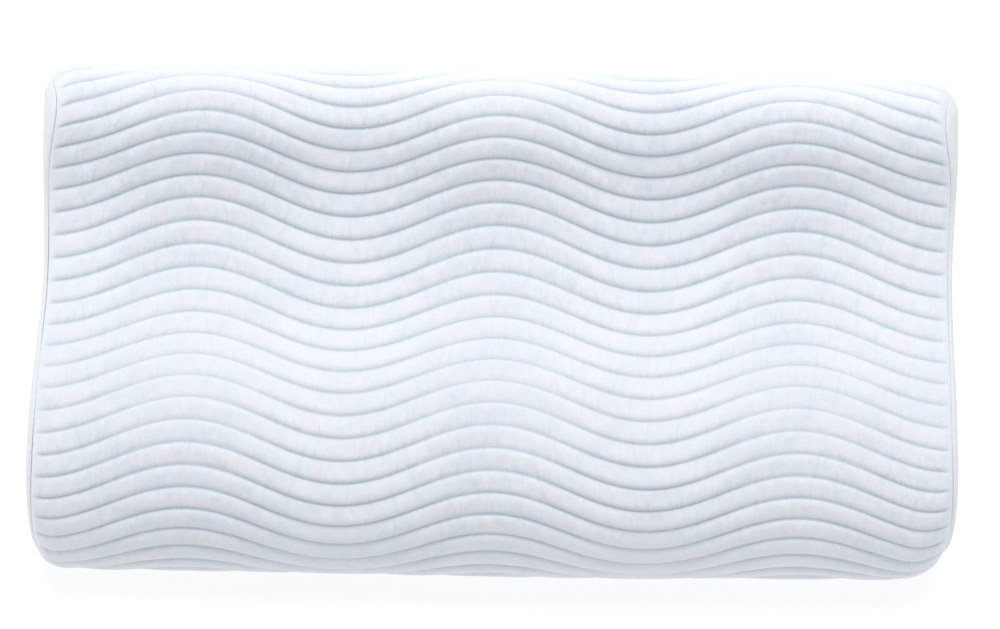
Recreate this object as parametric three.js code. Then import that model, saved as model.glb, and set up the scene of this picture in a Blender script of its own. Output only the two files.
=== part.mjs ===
// Cervical pillow with a quilted knit cover. One length of quilted knit goes over the front, the top and the
// back, and a plain knit panel closes each end. The channels run from end to end in three gentle waves.
// Millimetres. X runs across the width, Y to the back, where the higher lobe is, and Z up. The origin is
// the middle of the flat underside.

import * as THREE from 'three';
import { mergeVertices } from 'three/addons/utils/BufferGeometryUtils.js';

// Overall form
const width = 600;
const depth = 326;
const backLobeHeight = 104;
const valleyHeight = 65;
const frontLobeHeight = 80;
const backCrestY = 133;
const valleyY = 25;
const frontCrestY = -68;
const backEdgeDrop = 38; // height of the round edge behind the back crest
const frontSlopeReach = 0.42; // share of the front slope that stays level at each of its ends
const backSlopeFoot = 0.62; // the same for the back slope, where it leaves the valley
const backSlopeHead = 0.32; // and where it meets the back crest
const footRadius = 14; // round edge between the walls and the underside
const endDrop = 0.03; // share of its height that the top loses towards each end
const valleyDrawIn = 3; // each end is drawn in by this much beside the valley
const valleyReach = 70; // over this distance to the front and the back of it
const endLean = 11; // the ends lean in by this much at the top of the back lobe
const leanStart = 45; // from this height upwards
const frontCornerRadius = 28; // round of the corners in plan
const backCornerRadius = 21;
const cornerTurn = 0.88; // share of the radius after which a corner runs on level across the end

// Quilted channels
const ribCount = 33;
const ribsUnder = 1; // ribs that carry on under each foot, where they lie flat
const grooveDepth = 3;
const waveCount = 3;
const waveHeight = 13; // how far a channel swings to each side of its straight line
const grooveFade = 10; // the channels go flat over this distance before the end seams

// Ends
const endBulge = 4.6; // how far the end panels stand out beyond their seams
const crownRise = 0.6; // the middle of an end panel stands this much beyond its rim
const shoulderLength = 8; // the wrap rolls down to the seam over this length
const seamInset = 5; // and by this depth
const endEdgeInset = 8; // depth of the round edge of the filling behind an end panel
const panelThickness = 2;
const pieceGap = 0.36;

// Fineness of the surface
const pointsPerRib = 3;
const basePoints = 5;
const midSections = 36;
const faceRing = 0.5; // an end face has one more ring, this far in from its rim to its middle
const faceRingCrown = 0.7; // where it has this share of its crown

// Values that follow
const seamX = width / 2 - endBulge;
const panelRise = endBulge - pieceGap - crownRise;
const endMiddleY = 45; // the point that the end faces close on
const endMiddleZ = 20;
const wrapPoints = (ribCount + 2 * ribsUnder) * pointsPerRib;
const loopPoints = wrapPoints + basePoints;
const footY = depth / 2 - footRadius; // the flat underside reaches this far to the front and the back

const profile = sideProfile();
const wrapLength = profile.getLength();
const ribPitch = wrapLength / ribCount;

// The side outline of front, top and back, from the front foot to the back foot. In it x is Y and y is Z.
function sideProfile() {
  const front = -depth / 2;
  const back = depth / 2;
  const path = new THREE.Path();
  path.moveTo(front + footRadius, 0);
  path.absarc(front + footRadius, footRadius, footRadius, -Math.PI / 2, -Math.PI, true);
  const frontRise = frontLobeHeight - footRadius;
  path.absellipse(frontCrestY, footRadius, frontCrestY - front, frontRise, Math.PI, Math.PI / 2, true);
  const frontReach = frontSlopeReach * (valleyY - frontCrestY);
  path.bezierCurveTo(
    frontCrestY + frontReach, frontLobeHeight,
    valleyY - frontReach, valleyHeight,
    valleyY, valleyHeight,
  );
  const backRun = backCrestY - valleyY;
  path.bezierCurveTo(
    valleyY + backSlopeFoot * backRun, valleyHeight,
    backCrestY - backSlopeHead * backRun, backLobeHeight,
    backCrestY, backLobeHeight,
  );
  const edgeZ = backLobeHeight - backEdgeDrop;
  path.absellipse(backCrestY, edgeZ, back - backCrestY, backEdgeDrop, Math.PI / 2, 0, true);
  path.lineTo(back, footRadius);
  path.absarc(back - footRadius, footRadius, footRadius, 0, -Math.PI / 2, true);
  return path;
}

function smoothStep(value) {
  const t = THREE.MathUtils.clamp(value, 0, 1);
  return t * t * (3 - 2 * t);
}

// How far the channels have moved along the wrap in their wave. They meet the end seams squarely.
function waveShift(x) {
  return waveHeight * Math.cos((Math.PI * waveCount * Math.min(Math.abs(x), seamX)) / seamX);
}

// Depth of the surface below the side outline in a stitched groove.
function grooveAt(along, x) {
  const fromFoot = Math.min(along, wrapLength - along);
  const footFade = smoothStep(fromFoot / ribPitch);
  const endFade = smoothStep((seamX - Math.abs(x)) / grooveFade);
  return grooveDepth * footFade * endFade;
}

// A point of the wrap, set in from the side outline, as Y and Z. Past a foot it runs on under the pillow.
function wrapPoint(along, inset) {
  if (along <= 0) {
    return new THREE.Vector2(-footY - along, inset);
  }
  if (along >= wrapLength) {
    return new THREE.Vector2(footY - (along - wrapLength), inset);
  }
  const point = profile.getPoint(along / wrapLength);
  const tangent = profile.getTangent(along / wrapLength);
  return new THREE.Vector2(point.x + tangent.y * inset, point.y - tangent.x * inset);
}

// A point of the flat underside between the two ends of the wrap, set in upwards.
function basePoint(step, shift, inset) {
  const half = footY - ribsUnder * ribPitch;
  return new THREE.Vector2(half - (2 * half * step) / basePoints - shift, inset);
}

// How far a corner, round in plan, lies in from the straight front (minus) or back (plus). It fades out
// towards the front crest and the valley.
function cornerIn(x, y) {
  const [edgeY, innerY, radius] = y < 0
    ? [-depth / 2, frontCrestY, frontCornerRadius]
    : [depth / 2, valleyY, backCornerRadius];
  const fade = Math.max(0, (y - innerY) / (edgeY - innerY)) ** 2;
  const intoCorner = THREE.MathUtils.clamp(Math.abs(x) - width / 2 + radius, 0, cornerTurn * radius);
  return Math.sign(edgeY) * fade * (radius - Math.sqrt(radius ** 2 - intoCorner ** 2));
}

// The soft filling gives way at the four corners and beside the valley.
function softened(x, y, z) {
  const besideValley = Math.exp(-(((y - valleyY) / valleyReach) ** 2));
  const lean = endLean * (Math.max(0, z - leanStart) / (backLobeHeight - leanStart)) ** 3;
  const lowered = 1 - endDrop * Math.min(1, Math.abs(x) / seamX) ** 3;
  return new THREE.Vector3(
    x * (1 - (valleyDrawIn * besideValley + lean) / seamX),
    y - cornerIn(x, y),
    z * lowered,
  );
}

// One point of the closed loop around a section. A section has its place x, its inset from the side
// outline and its closing, from 0 where it has the full outline to 1 at the middle of an end face.
function sectionPoint(section, index) {
  const shift = waveShift(section.x);
  let point;
  if (index <= wrapPoints) {
    const along = (index / pointsPerRib - ribsUnder) * ribPitch + shift;
    const inGroove = index % pointsPerRib === 0;
    point = wrapPoint(along, section.inset + (inGroove ? grooveAt(along, section.x) : 0));
  } else {
    point = basePoint(index - wrapPoints, shift, section.inset);
  }
  const open = 1 - section.closing;
  const y = endMiddleY + (point.x - endMiddleY) * open;
  const z = endMiddleZ + (point.y - endMiddleZ) * open;
  return softened(section.x, y, z);
}

// A closed skin through a row of sections whose first and last are closed to a point. It has the net of
// a sphere.
function skin(sections) {
  const geometry = new THREE.SphereGeometry(1, loopPoints, sections.length - 1);
  const position = geometry.attributes.position;
  sections.forEach((section, row) => {
    for (let index = 0; index <= loopPoints; index += 1) {
      const point = sectionPoint(section, index % loopPoints);
      position.setXYZ(row * (loopPoints + 1) + index, point.x, point.y, point.z);
    }
  });
  geometry.deleteAttribute('normal');
  geometry.deleteAttribute('uv');
  const closed = mergeVertices(geometry, 1e-3);
  closed.computeVertexNormals();
  return closed;
}

// The sections of an end face on the right, from its rim to its middle: a round edge and then a low crown.
function endFace(startX, rise, edgeInset, crown) {
  const pivot = seamInset + endEdgeInset;
  return [
    { x: startX, inset: pivot - edgeInset, closing: 0 },
    { x: startX + rise * Math.SQRT1_2, inset: pivot - edgeInset * Math.SQRT1_2, closing: 0 },
    { x: startX + rise, inset: pivot, closing: 0 },
    { x: startX + rise + faceRingCrown * crown, inset: pivot, closing: faceRing },
    { x: startX + rise + crown, inset: pivot, closing: 1 },
  ];
}

function mirrored(sections) {
  return sections.map((section) => ({ ...section, x: -section.x })).reverse();
}

// The filled pillow in its quilted wrap, with plain end faces and a plain underside.
function bodySections() {
  const shoulderX = seamX - shoulderLength;
  const middle = [];
  for (let step = 0; step <= midSections; step += 1) {
    middle.push({ x: shoulderX * ((2 * step) / midSections - 1), inset: 0, closing: 0 });
  }
  const shoulder = {
    x: shoulderX + shoulderLength * Math.SQRT1_2,
    inset: seamInset * (1 - Math.SQRT1_2),
    closing: 0,
  };
  const end = [shoulder, ...endFace(seamX, panelRise - panelThickness - pieceGap, endEdgeInset, 0)];
  return [...mirrored(end), ...middle, ...end];
}

// A sheet over the right end face, from the middle of its inner side round its rim to the middle outside.
function panelSections() {
  const start = seamX + pieceGap;
  const inner = endFace(start, panelRise - panelThickness, endEdgeInset + pieceGap, crownRise);
  const outer = endFace(start, panelRise, endEdgeInset + pieceGap + panelThickness, crownRise);
  return [...inner.reverse(), ...outer];
}

function knit(colour) {
  return new THREE.MeshStandardMaterial({ color: colour, roughness: 0.92, metalness: 0 });
}

function piece(name, sections, material) {
  const mesh = new THREE.Mesh(skin(sections), material);
  mesh.name = name;
  return mesh;
}

const quiltedKnit = knit(0xeff2f6);
const plainKnit = knit(0xdfe3e8);

const pillow = new THREE.Group();
pillow.add(piece('pillow_body', bodySections(), quiltedKnit));
pillow.add(piece('end_panel_right', panelSections(), plainKnit));
pillow.add(piece('end_panel_left', mirrored(panelSections()), plainKnit));

export default pillow;
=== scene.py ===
import math

import bmesh
import bpy
import numpy as np
from mathutils import Matrix, Vector, noise


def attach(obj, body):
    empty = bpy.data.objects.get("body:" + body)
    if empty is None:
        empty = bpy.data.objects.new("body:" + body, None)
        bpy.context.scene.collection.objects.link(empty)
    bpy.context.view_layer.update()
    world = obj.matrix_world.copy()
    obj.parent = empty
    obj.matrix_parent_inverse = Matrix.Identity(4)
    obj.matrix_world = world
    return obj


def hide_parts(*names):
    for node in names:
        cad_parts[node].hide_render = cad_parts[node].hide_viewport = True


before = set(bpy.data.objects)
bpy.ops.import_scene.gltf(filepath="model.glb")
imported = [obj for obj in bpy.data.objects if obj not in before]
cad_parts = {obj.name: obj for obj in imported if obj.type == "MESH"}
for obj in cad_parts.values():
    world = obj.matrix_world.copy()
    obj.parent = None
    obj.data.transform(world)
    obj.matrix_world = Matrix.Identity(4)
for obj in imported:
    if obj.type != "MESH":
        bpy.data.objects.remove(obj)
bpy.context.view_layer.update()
scene = bpy.context.scene


# The filling: one moulded foam block with a low front lobe, a neck hollow and a high back lobe. It doesn't
# show itself. The cover follows its side outline, from the front foot over the top to the back foot, in
# metres, and where the foam gives way at its corners and ends, the whole pillow does.
front, back = -0.163, 0.163
foot_radius = 0.014
front_crest = (-0.068, 0.080)
valley = (0.025, 0.065)
back_crest = (0.133, 0.104)
back_edge_drop = 0.038
front_slope_reach = 0.42
back_slope_foot, back_slope_head = 0.62, 0.32
half_width = 0.3
end_bulge = 0.0046
seam_x = half_width - end_bulge
outline_steps = 400


def arc(centre, radii, first_turn, last_turn):
    """Points of an ellipse from one turn to another, in degrees, as (y, z)."""
    sweep = last_turn - first_turn
    turns = [math.radians(first_turn + sweep * step / outline_steps) for step in range(outline_steps + 1)]
    return [(centre[0] + radii[0] * math.cos(turn), centre[1] + radii[1] * math.sin(turn)) for turn in turns]


def slope(near, far, near_reach, far_reach):
    """Points of the slope between two level places of the top, which it leaves level for these reaches."""
    points = []
    for step in range(1, outline_steps):
        t = step / outline_steps
        across = (near[0], near[0] + near_reach, far[0] - far_reach, far[0])
        weights = ((1 - t) ** 3, 3 * t * (1 - t) ** 2, 3 * t * t * (1 - t), t ** 3)
        height = near[1] * (weights[0] + weights[1]) + far[1] * (weights[2] + weights[3])
        points.append((sum(a * w for a, w in zip(across, weights)), height))
    return points


front_run = valley[0] - front_crest[0]
back_run = back_crest[0] - valley[0]
edge_z = back_crest[1] - back_edge_drop
outline = np.array(
    arc((front + foot_radius, foot_radius), (foot_radius, foot_radius), -90, -180)
    + arc((front_crest[0], foot_radius), (front_crest[0] - front, front_crest[1] - foot_radius), 180, 90)[1:]
    + slope(front_crest, valley, front_slope_reach * front_run, front_slope_reach * front_run)
    + slope(valley, back_crest, back_slope_foot * back_run, back_slope_head * back_run)
    + arc((back_crest[0], edge_z), (back - back_crest[0], back_edge_drop), 90, 0)
    + arc((back - foot_radius, foot_radius), (foot_radius, foot_radius), 0, -90)
)
step_lengths = np.hypot(*np.diff(outline, axis=0).T)
along_outline = np.concatenate([[0], np.cumsum(step_lengths)])
wrap_length = along_outline[-1]
headings = np.gradient(outline, along_outline + np.arange(len(outline)) * 1e-12, axis=0)
headings /= np.hypot(*headings.T)[:, None]


def smooth_step(value):
    t = min(1, max(0, value))
    return t * t * (3 - 2 * t)


def on_outline(along, inset):
    """A point at this length along the wrap, set in from it, as (y, z). Past a foot it runs on under the
    foam."""
    if along < 0:
        return front + foot_radius - along, inset
    if along > wrap_length:
        return back - foot_radius - (along - wrap_length), inset
    y, z, heading_y, heading_z = (
        float(np.interp(along, along_outline, column))
        for column in (outline[:, 0], outline[:, 1], headings[:, 0], headings[:, 1])
    )
    return y + heading_z * inset, z - heading_y * inset


def on_underside(share, margin, inset):
    """A point of the flat underside, from the back foot to the front foot, with a margin left at each."""
    half = back - foot_radius - margin
    return half - 2 * half * share, inset


back_corner_radius = 0.021
front_left_radius, front_right_radius = 0.023, 0.034
corner_turn = 0.88
front_slack, slack_from, slack_run = 0.0032, 0.03, 0.25


def corner_in(x, y):
    """How far the straight front or back is drawn in at a corner, which is round in plan. The front right
    corner of this pillow has given way the most, and pulls the front in over half its width."""
    if y < 0:
        edge, inner, radius = front, front_crest[0], front_right_radius if x > 0 else front_left_radius
        slack = front_slack * smooth_step((x - slack_from) / slack_run)
    else:
        edge, inner, radius = back, valley[0], back_corner_radius
        slack = 0
    into_corner = min(max(0, abs(x) - half_width + radius), corner_turn * radius)
    rounded = radius - math.sqrt(radius * radius - into_corner * into_corner)
    return math.copysign(rounded + slack, edge) * max(0, (y - inner) / (edge - inner)) ** 2


valley_draw_in, valley_reach = 0.003, 0.070
end_lean, lean_from = 0.011, 0.045
end_drop = 0.03
front_skew, skew_run = 0.0012, 0.1


def softened(x, y, z):
    """The foam gives way at the four corners, at the ends of the back lobe and beside the neck hollow. Its
    front has also moved a little to the left."""
    beside_valley = valley_draw_in * math.exp(-(((y - valley[0]) / valley_reach) ** 2))
    lean = end_lean * (max(0, z - lean_from) / (back_crest[1] - lean_from)) ** 3
    lowered = 1 - end_drop * min(1, abs(x) / seam_x) ** 3
    skew = front_skew * smooth_step((valley[0] - y) / skew_run)
    return Vector((x * (1 - (beside_valley + lean) / seam_x) - skew, y - corner_in(x, y), z * lowered))


# The quilted wrap: one length of thick white knit over the front, the top and the back. Rows of stitching run
# from end to end in three gentle waves, draw the knit down into pale channels and leave puffed ribs between
# them. It is sewn to a plain panel at each end.
rib_count = 33
ribs_under = 1
pitch = wrap_length / rib_count
groove_depth = 0.0032
wave_count, wave_height = 3, 0.013
seam_fade = 0.007
loosest_y, loose_reach, looseness = -0.045, 0.046, 0.36
wall_from, wall_run, wall_painted_light = 0.125, 0.03, 0.35
shoulder = 0.008
seam_inset = 0.0030
face_inset = 0.0100
panel_thickness = 0.002
piece_gap = 0.00036
crown_rise = 0.0006
panel_rise = end_bulge - piece_gap - crown_rise
body_rise = panel_rise - panel_thickness - piece_gap
end_middle = (0.045, 0.020)
rib_rows = (0, 0.1, 0.34, 0.66, 0.9)
base_rows = 9
base_length = 2 * (back - foot_radius)
middle_columns = 112
broad_uneven, small_uneven = 0.16, 0.08
merge_distance = 1e-5


def stitching_fade(along, x):
    """1 where the channels are at full depth, down to 0 at the feet and at the end seams."""
    from_foot = min(along, wrap_length - along)
    return smooth_step(from_foot / pitch) * smooth_step((seam_x - abs(x)) / seam_fade)


def loose(along):
    """1 behind the front crest, where the stitching draws the knit down the least, down to 0 away from it."""
    return math.exp(-(((on_outline(along, 0)[0] - loosest_y) / loose_reach) ** 2))


def wave(x):
    """How far the channels have moved along the wrap in their wave. They meet the end seams squarely."""
    return wave_height * math.cos(wave_count * math.pi * min(abs(x), seam_x) / seam_x)


def quarter(from_x, reach, inset, drop, count):
    """Columns of a quarter-round edge: x goes out by reach and the inset grows by drop."""
    turns = [math.pi / 2 * (step + 1) / count for step in range(count)]
    return [(from_x + reach * math.sin(t), inset + drop * (1 - math.cos(t)), 0) for t in turns]


def closed_in(y, z, closing):
    """A point of an end face, moved to the middle of the face by the share closing."""
    middle_y, middle_z = end_middle
    return middle_y + (y - middle_y) * (1 - closing), middle_z + (z - middle_z) * (1 - closing)


shoulder_x = seam_x - shoulder
right_end = quarter(shoulder_x, shoulder, 0, seam_inset, 5)
right_end += quarter(seam_x, body_rise, seam_inset, face_inset, 3)
right_end += [(seam_x + body_rise, seam_inset + face_inset, closing) for closing in (0.3, 0.65)]
columns = [(-x, inset, closing) for x, inset, closing in reversed(right_end)]
columns += [(shoulder_x * (2 * step / middle_columns - 1), 0, 0) for step in range(middle_columns + 1)]
columns += right_end
rows = [(rib + part, 0) for rib in range(-ribs_under, rib_count + ribs_under) for part in rib_rows]
rows += [(rib_count + ribs_under, step / base_rows) for step in range(base_rows)] + [(-ribs_under, 1)]

quilt = bmesh.new()
rib_layer = quilt.verts.layers.float.new("rib")
stitched_layer = quilt.verts.layers.float.new("stitched")
outward_layer = quilt.verts.layers.float_vector.new("outward")
cloth_uv = quilt.loops.layers.uv.new("cloth")
bmesh.ops.create_grid(quilt, x_segments=len(columns) - 1, y_segments=len(rows) - 1, size=0.5)

for point in quilt.verts:
    x, inset, closing = columns[round((point.co.x + 0.5) * (len(columns) - 1))]
    rib, base_share = rows[round((point.co.y + 0.5) * (len(rows) - 1))]
    along = rib * pitch + wave(x)
    across = rib - math.floor(rib)
    for corner in point.link_loops:
        corner[cloth_uv].uv = (x, along + base_share * base_length)
    if base_share == 0:
        stitched = stitching_fade(along, x) * (1 - looseness * loose(along))
        uneven = broad_uneven * noise.noise(Vector((x * 22, rib * 2.3, 4.1)))
        uneven += small_uneven * noise.noise(Vector((x * 64, rib * 3, 1.7)))
        drawn = groove_depth * stitched * (1 - math.sqrt(1 - (2 * across - 1) ** 2) * (1 + uneven))
        y, z = on_outline(along, inset + drawn)
        surface_y, surface_z = on_outline(along, inset + drawn - 1)
        outward = (0, surface_y - y, surface_z - z)
    else:
        stitched = 0
        y, z = on_underside(base_share, ribs_under * pitch, inset)
        y -= wave(x)
        outward = (0, 0, -1)
    y, z = closed_in(y, z, closing)
    point.co = softened(x, y, z)
    point[rib_layer] = rib
    # Painted light: on the front and back walls the channel line and its painted shade are made paler,
    # standing in for the brighter light there; the bumps that follow the stitching are lessened with them.
    point[stitched_layer] = stitched * (1 - wall_painted_light * smooth_step((abs(y) - wall_from) / wall_run))
    point[outward_layer] = outward
bmesh.ops.remove_doubles(quilt, verts=quilt.verts, dist=merge_distance)
open_ends = [edge for edge in quilt.edges if edge.is_boundary]
end_faces = bmesh.ops.holes_fill(quilt, edges=open_ends, sides=0)["faces"]
bmesh.ops.triangulate(quilt, faces=end_faces)
bmesh.ops.recalc_face_normals(quilt, faces=quilt.faces)
for face in quilt.faces:
    face.smooth = True
body_mesh = bpy.data.meshes.new("quilted_body")
quilt.to_mesh(body_mesh)
quilt.free()
body = bpy.data.objects.new("quilted_body", body_mesh)
scene.collection.objects.link(body)


def swell(piece, held_points, outward, pressure, shrink, bending, cap, sideways, frames):
    """Fills a sewn piece: Cloth lifts it between the points that the stitching holds, and the result is kept.
    No point moves further than cap, and of its movement along the surface only the share sideways is kept,
    so that the ribs stay upright."""
    sewn = np.array([v.co for v in piece.data.vertices])
    group = piece.vertex_groups.new(name="held")
    group.add(held_points, 1.0, "REPLACE")
    filling = piece.modifiers.new("filling", "CLOTH")
    filling.settings.quality = 5
    filling.settings.mass = 0.15
    filling.settings.tension_stiffness = 15
    filling.settings.compression_stiffness = 15
    filling.settings.shear_stiffness = 5
    filling.settings.bending_stiffness = bending
    filling.settings.vertex_group_mass = "held"
    filling.settings.use_pressure = True
    filling.settings.uniform_pressure_force = pressure
    filling.settings.shrink_min = shrink
    filling.settings.effector_weights.gravity = 0
    filling.collision_settings.use_collision = False
    filling.collision_settings.use_self_collision = False
    for number in range(1, frames + 1):
        scene.frame_set(number)
    puffed = piece.evaluated_get(bpy.context.evaluated_depsgraph_get())
    moved = np.array([v.co for v in puffed.data.vertices]) - sewn
    lifted = outward * (moved * outward).sum(axis=1, keepdims=True)
    moved = lifted + sideways * (moved - lifted)
    length = np.linalg.norm(moved, axis=1, keepdims=True)
    moved *= cap * np.tanh(length / cap) / np.maximum(length, 1e-9)
    piece.modifiers.remove(filling)
    piece.vertex_groups.remove(group)
    piece.data.vertices.foreach_set("co", (sewn + moved).astype(np.float32).ravel())
    piece.data.update()
    scene.frame_set(1)


held_end = 0.014
resting_height = 0.001
ribs = np.zeros(len(body_mesh.vertices), np.float32)
body_mesh.attributes["rib"].data.foreach_get("value", ribs)
held_points = [
    v.index
    for v, rib in zip(body_mesh.vertices, ribs)
    if abs(rib - round(rib)) < 1e-3 or abs(v.co.x) > shoulder_x - held_end or v.co.z < resting_height
]
outward = np.zeros(len(body_mesh.vertices) * 3, np.float32)
body_mesh.attributes["outward"].data.foreach_get("vector", outward)
body_mesh.attributes.remove(body_mesh.attributes["outward"])
swell(
    body, held_points, outward.reshape(-1, 3),
    pressure=5, shrink=-0.004, bending=0.05, cap=0.003, sideways=0.15, frames=20,
)

finer = body.modifiers.new("finer", "SUBSURF")
finer.levels = finer.render_levels = 1
finer.uv_smooth = "NONE"
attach(body, "root")
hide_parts("pillow_body")


class Socket:
    """One socket in a material. Arithmetic on it adds Math nodes, and add() adds any other node."""

    def __init__(self, tree, output=None):
        self.tree = tree
        self.output = output

    def add(self, kind, settings, inputs, output=0):
        made = self.tree.nodes.new("ShaderNode" + kind)
        for name, value in settings.items():
            setattr(made, name, value)
        for name, value in inputs.items():
            if isinstance(value, Socket):
                self.tree.links.new(value.output, made.inputs[name])
            else:
                made.inputs[name].default_value = value
        return Socket(self.tree, made.outputs[output])

    def maths(self, operation, *values):
        return self.add("Math", {"operation": operation}, dict(enumerate(values)))

    def __add__(self, other):
        return self.maths("ADD", self, other)

    def __radd__(self, other):
        return self.maths("ADD", other, self)

    def __sub__(self, other):
        return self.maths("SUBTRACT", self, other)

    def __rsub__(self, other):
        return self.maths("SUBTRACT", other, self)

    def __mul__(self, other):
        return self.maths("MULTIPLY", self, other)

    def __rmul__(self, other):
        return self.maths("MULTIPLY", other, self)

    def __abs__(self):
        return self.maths("ABSOLUTE", self)

    def sine(self):
        return self.maths("SINE", self)

    def step(self, low, high):
        """0 below low, 1 above high, and smooth between them."""
        settings = {"interpolation_type": "SMOOTHSTEP"}
        return self.add("MapRange", settings, {0: self, 1: low, 2: high, 3: 0.0, 4: 1.0})

    def mix(self, colour, other):
        """Goes from colour to other as this socket goes from 0 to 1."""
        return self.add("Mix", {"data_type": "RGBA"}, {0: self, 6: colour, 7: other}, 2)

    def noise(self, scale, detail):
        return self.add("TexNoise", {}, {"Vector": self, "Scale": scale, "Detail": detail})


def dye(red, green, blue):
    """A colour as it shows on the screen, from 0 to 255, as the linear colour that the shader takes."""
    return tuple(((c / 255 + 0.055) / 1.055) ** 2.4 for c in (red, green, blue)) + (1.0,)


def new_finish(name, roughness, sheen):
    material = bpy.data.materials.new(name)
    material.use_nodes = True
    shader = material.node_tree.nodes["Principled BSDF"]
    shader.inputs["Roughness"].default_value = roughness
    shader.inputs["Specular IOR Level"].default_value = 0.25
    shader.inputs["Sheen Weight"].default_value = sheen
    shader.inputs["Sheen Roughness"].default_value = 0.5
    return material, Socket(material.node_tree), shader


knit_roughness, knit_sheen = 0.9, 0.15
knit_relief = 0.0003
wale_pitch, course_pitch = 1.15, 0.85
quilted_knit, finish, shader = new_finish("quilted_knit", knit_roughness, knit_sheen)
coordinates = finish.add("TexCoord", {}, {}, "Object")
cloth = finish.add("UVMap", {"uv_map": "cloth"}, {})
# Places on the cloth, and distances from the stitching, are in millimetres.
cloth_x = finish.add("SeparateXYZ", {}, {0: cloth}, "X") * 1000
cloth_y = finish.add("SeparateXYZ", {}, {0: cloth}, "Y") * 1000
rib = finish.add("Attribute", {"attribute_name": "rib"}, {}, "Fac")
stitched = finish.add("Attribute", {"attribute_name": "stitched"}, {}, "Fac")
from_groove = abs(rib - rib.maths("ROUND", rib)) * (pitch * 1000)
line = (1 - from_groove.step(0.35, 1.25)) * stitched
# hollow carries painted shade: it darkens the knit towards each channel, up to about 4 mm from it, where
# shade falls.
hollow = (1 - from_groove.step(0.2, 4.2)) * stitched
near_stitches = (1 - from_groove.step(1.0, 6.5)) * stitched
fine_noise = coordinates.noise(420.0, 2.0)

cool = coordinates.noise(14.0, 2.0).step(0.35, 0.65).mix(dye(226, 231, 238), dye(231, 235, 241))
white = (coordinates.noise(55.0, 1.0).step(0.50, 0.70) * 0.7).mix(cool, dye(235, 232, 239))
# Painted shade: the knit turns a darker grey blue beside each channel.
channel_painted_shade = (hollow * 0.35).mix(white, dye(207, 217, 226))
dotted = (fine_noise.step(0.45, 0.7) * 0.35).mix(channel_painted_shade, dye(238, 240, 245))
coloured = (line * 0.48).mix(dotted, dye(158, 184, 194))
finish.tree.links.new(coloured.output, shader.inputs["Base Color"])

wales = (cloth_x * (math.tau / wale_pitch)).sine()
courses = (cloth_y * (math.tau / course_pitch) + wales * 1.3).sine()
gather_place = finish.add("CombineXYZ", {}, {0: cloth_x * 0.33, 1: rib * 0.9, 2: 0.0})
gathers = gather_place.noise(1.0, 1.0) * near_stitches
pucker_place = finish.add("CombineXYZ", {}, {0: cloth_x * 0.14, 1: rib * 0.55, 2: 7.0})
puckers = pucker_place.noise(1.0, 1.0).step(0.38, 0.66) * stitched
knit_height = wales * 0.2 + courses * 0.35 + fine_noise + gathers * 19.0 + puckers * 24.0
bump = finish.add("Bump", {}, {"Strength": 0.25, "Distance": knit_relief, "Height": knit_height})
finish.tree.links.new(bump.output, shader.inputs["Normal"])
body.data.materials.append(quilted_knit)


# The end panels: plain fine knit, cut to the side outline of the foam and sewn to the wrap all round. The
# foam pushes them out into a low cushion, and their seam is drawn in below both surfaces and gathers them a
# little.
panel_wrap_points = 260
panel_base_points = 90
panel_loop = panel_wrap_points + panel_base_points
panel_start = seam_x + piece_gap
panel_pivot = seam_inset + face_inset
panel_edge = face_inset + piece_gap
panel_rings = (0.04, 0.09, 0.15, 0.22, 0.3, 0.38, 0.46, 0.54, 0.62, 0.7, 0.78, 0.86, 0.93, 1)
tuck, tuck_inset, turn_inset = 0.0003, 0.0031, 0.0027
crown_gain = 1.4
gathered_share = 0.22
panel_swing = 0.0004
panel_columns = [(panel_start - tuck, tuck_inset, 0), (panel_start, turn_inset, 0)]
panel_columns += quarter(panel_start, panel_rise, panel_pivot - panel_edge, panel_edge, 10)
panel_columns += [
    (panel_start + panel_rise + crown_rise * min(1, closing * crown_gain), panel_pivot, closing)
    for closing in panel_rings
]

wale_pitch, course_pitch = 1.2, 0.9
plain_knit, finish, shader = new_finish("plain_knit", knit_roughness, knit_sheen)
coordinates = finish.add("TexCoord", {}, {}, "Object")
cloth = finish.add("UVMap", {"uv_map": "cloth"}, {})
cloth_x = finish.add("SeparateXYZ", {}, {0: cloth}, "X") * 1000
cloth_y = finish.add("SeparateXYZ", {}, {0: cloth}, "Y") * 1000
rim = finish.add("Attribute", {"attribute_name": "rim"}, {}, "Fac")
along = finish.add("Attribute", {"attribute_name": "along"}, {}, "Fac")
coloured = coordinates.noise(30.0, 2.0).step(0.35, 0.65).mix(dye(230, 233, 238), dye(233, 236, 240))
finish.tree.links.new(coloured.output, shader.inputs["Base Color"])
wales = (cloth_x * (math.tau / wale_pitch)).sine()
courses = (cloth_y * (math.tau / course_pitch) + abs(wales) * 1.6).sine()
gather_place = finish.add("CombineXYZ", {}, {0: along * 190.0, 1: rim * 1.5, 2: 0.0})
knit_height = wales * 0.5 + courses * 0.5 + gather_place.noise(1.0, 1.0) * rim * 9.0
bump = finish.add("Bump", {}, {"Strength": 0.4, "Distance": knit_relief, "Height": knit_height})
finish.tree.links.new(bump.output, shader.inputs["Normal"])


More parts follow.
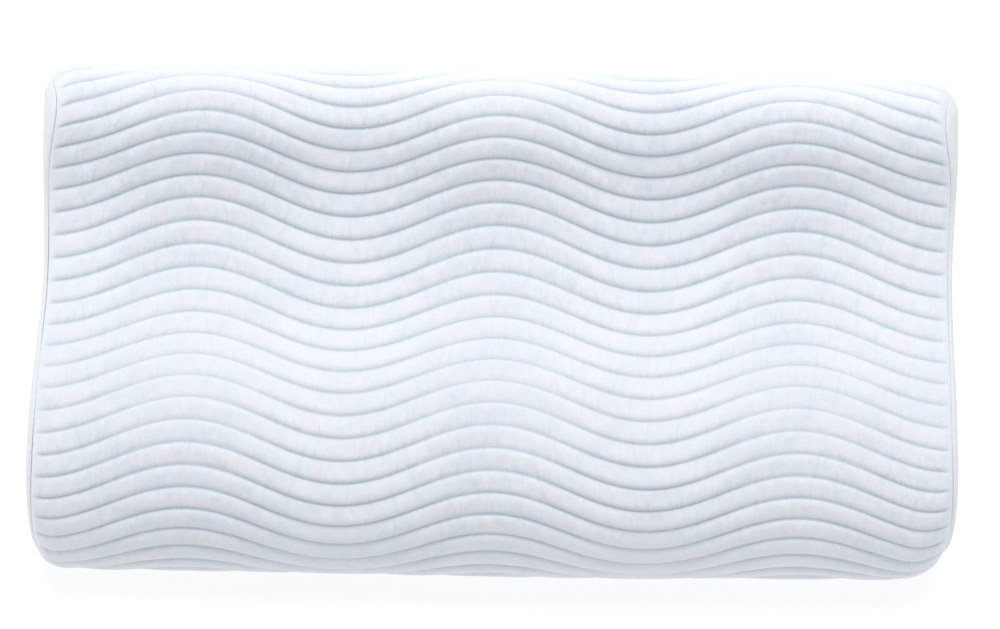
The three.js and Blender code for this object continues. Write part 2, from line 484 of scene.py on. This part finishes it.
def end_panel(name, side, node):
    """Sews on one end panel, at the right with side 1 and at the left with side -1."""
    panel = bmesh.new()
    flat_uv = panel.loops.layers.uv.new("cloth")
    rim_layer = panel.verts.layers.float.new("rim")
    along_layer = panel.verts.layers.float.new("along")
    bmesh.ops.create_grid(panel, x_segments=len(panel_columns) - 1, y_segments=panel_loop, size=0.5)
    for point in panel.verts:
        x, inset, closing = panel_columns[round((point.co.x + 0.5) * (len(panel_columns) - 1))]
        place = round((point.co.y + 0.5) * panel_loop) % panel_loop
        if place <= panel_wrap_points:
            y, z = on_outline(wrap_length * place / panel_wrap_points, inset)
        else:
            y, z = on_underside((place - panel_wrap_points) / panel_base_points, 0, inset)
        y, z = closed_in(y, z, closing)
        for corner in point.link_loops:
            corner[flat_uv].uv = (y * side, z)
        point[rim_layer] = max(0, 1 - closing / gathered_share)
        point[along_layer] = place / panel_loop
        swing = panel_swing * noise.noise(Vector((y * 18, z * 22, side * 3.0)))
        point.co = softened(side * (x + swing), y, z)
    bmesh.ops.remove_doubles(panel, verts=panel.verts, dist=merge_distance)
    bmesh.ops.recalc_face_normals(panel, faces=panel.faces)
    if sum(face.normal.x * face.calc_area() for face in panel.faces) * side < 0:
        bmesh.ops.reverse_faces(panel, faces=panel.faces)
    for face in panel.faces:
        face.smooth = True
    mesh = bpy.data.meshes.new(name)
    panel.to_mesh(mesh)
    panel.free()
    piece = bpy.data.objects.new(name, mesh)
    scene.collection.objects.link(piece)
    wall = piece.modifiers.new("knit", "SOLIDIFY")
    wall.thickness = panel_thickness
    wall.offset = -1
    piece.data.materials.append(plain_knit)
    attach(piece, "root")
    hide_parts(node)


end_panel("right_end_panel", 1, "end_panel_right")
end_panel("left_end_panel", -1, "end_panel_left")


# The studio: a plain white floor, a large soft light behind and above the pillow, two weak ones at its front
# and its left end, and even white light all round.
floor_reach = 40
floor_drop = 0.0005
floor_mesh = bpy.data.meshes.new("floor")
plain = bmesh.new()
bmesh.ops.create_grid(plain, x_segments=2, y_segments=2, size=floor_reach)
bmesh.ops.translate(plain, verts=plain.verts, vec=(0, 0, -floor_drop))
plain.to_mesh(floor_mesh)
plain.free()
floor = bpy.data.objects.new("floor", floor_mesh)
scene.collection.objects.link(floor)
floor_finish, finish, shader = new_finish("floor", 0.95, 0.0)
shader.inputs["Base Color"].default_value = (0.4, 0.4, 0.4, 1)
shader.inputs["Emission Color"].default_value = (1, 1, 1, 1)
shader.inputs["Emission Strength"].default_value = 0.67
floor.data.materials.append(floor_finish)

scene.world = bpy.data.worlds.new("studio")
scene.world.use_nodes = True
surround = scene.world.node_tree.nodes["Background"]
surround.inputs["Color"].default_value = (0.98, 0.98, 1.0, 1)
surround.inputs["Strength"].default_value = 0.71


def soft_light(name, place, target, size, power):
    lamp = bpy.data.lights.new(name, "AREA")
    lamp.shape = "RECTANGLE"
    lamp.size, lamp.size_y = size
    lamp.energy = power
    carrier = bpy.data.objects.new(name, lamp)
    carrier.location = place
    carrier.rotation_euler = (Vector(target) - Vector(place)).to_track_quat("-Z", "Y").to_euler()
    scene.collection.objects.link(carrier)


soft_light("back_softbox", (0.1, 1.66, 2.15), (0, 0, 0.05), (2.4, 1.2), 38)
soft_light("front_fill", (0.9, -0.9, 0.35), (0.2, -0.15, 0.04), (0.5, 0.3), 0.35)
soft_light("left_fill", (-1.3, 0, 0.16), (-0.3, 0, 0.05), (0.5, 0.25), 1.5)


# The camera: nearly overhead, a little in front of the pillow, with a long lens and the photograph's slight
# turn. It aims at the middle of the pillow.
aim = Vector((0, 0, 0.045))
distance = 1.93
elevation = math.radians(80)
roll = math.radians(1.13)
look = Vector((0, math.cos(elevation), -math.sin(elevation)))
right = Vector((1, 0, 0))
up = right.cross(look)
turned_right = right * math.cos(roll) + up * math.sin(roll)
turned_up = up * math.cos(roll) - right * math.sin(roll)
lens = bpy.data.cameras.new("camera")
lens.sensor_width = 36
lens.lens = 106.4
lens.shift_x, lens.shift_y = 0.0029, 0.0091
lens.clip_start, lens.clip_end = 0.05, 20
camera = bpy.data.objects.new("camera", lens)
turn = Matrix((turned_right, turned_up, -look)).transposed().to_4x4()
camera.matrix_world = Matrix.Translation(aim - look * distance) @ turn
scene.collection.objects.link(camera)
scene.camera = camera
scene.view_settings.view_transform = "Standard"
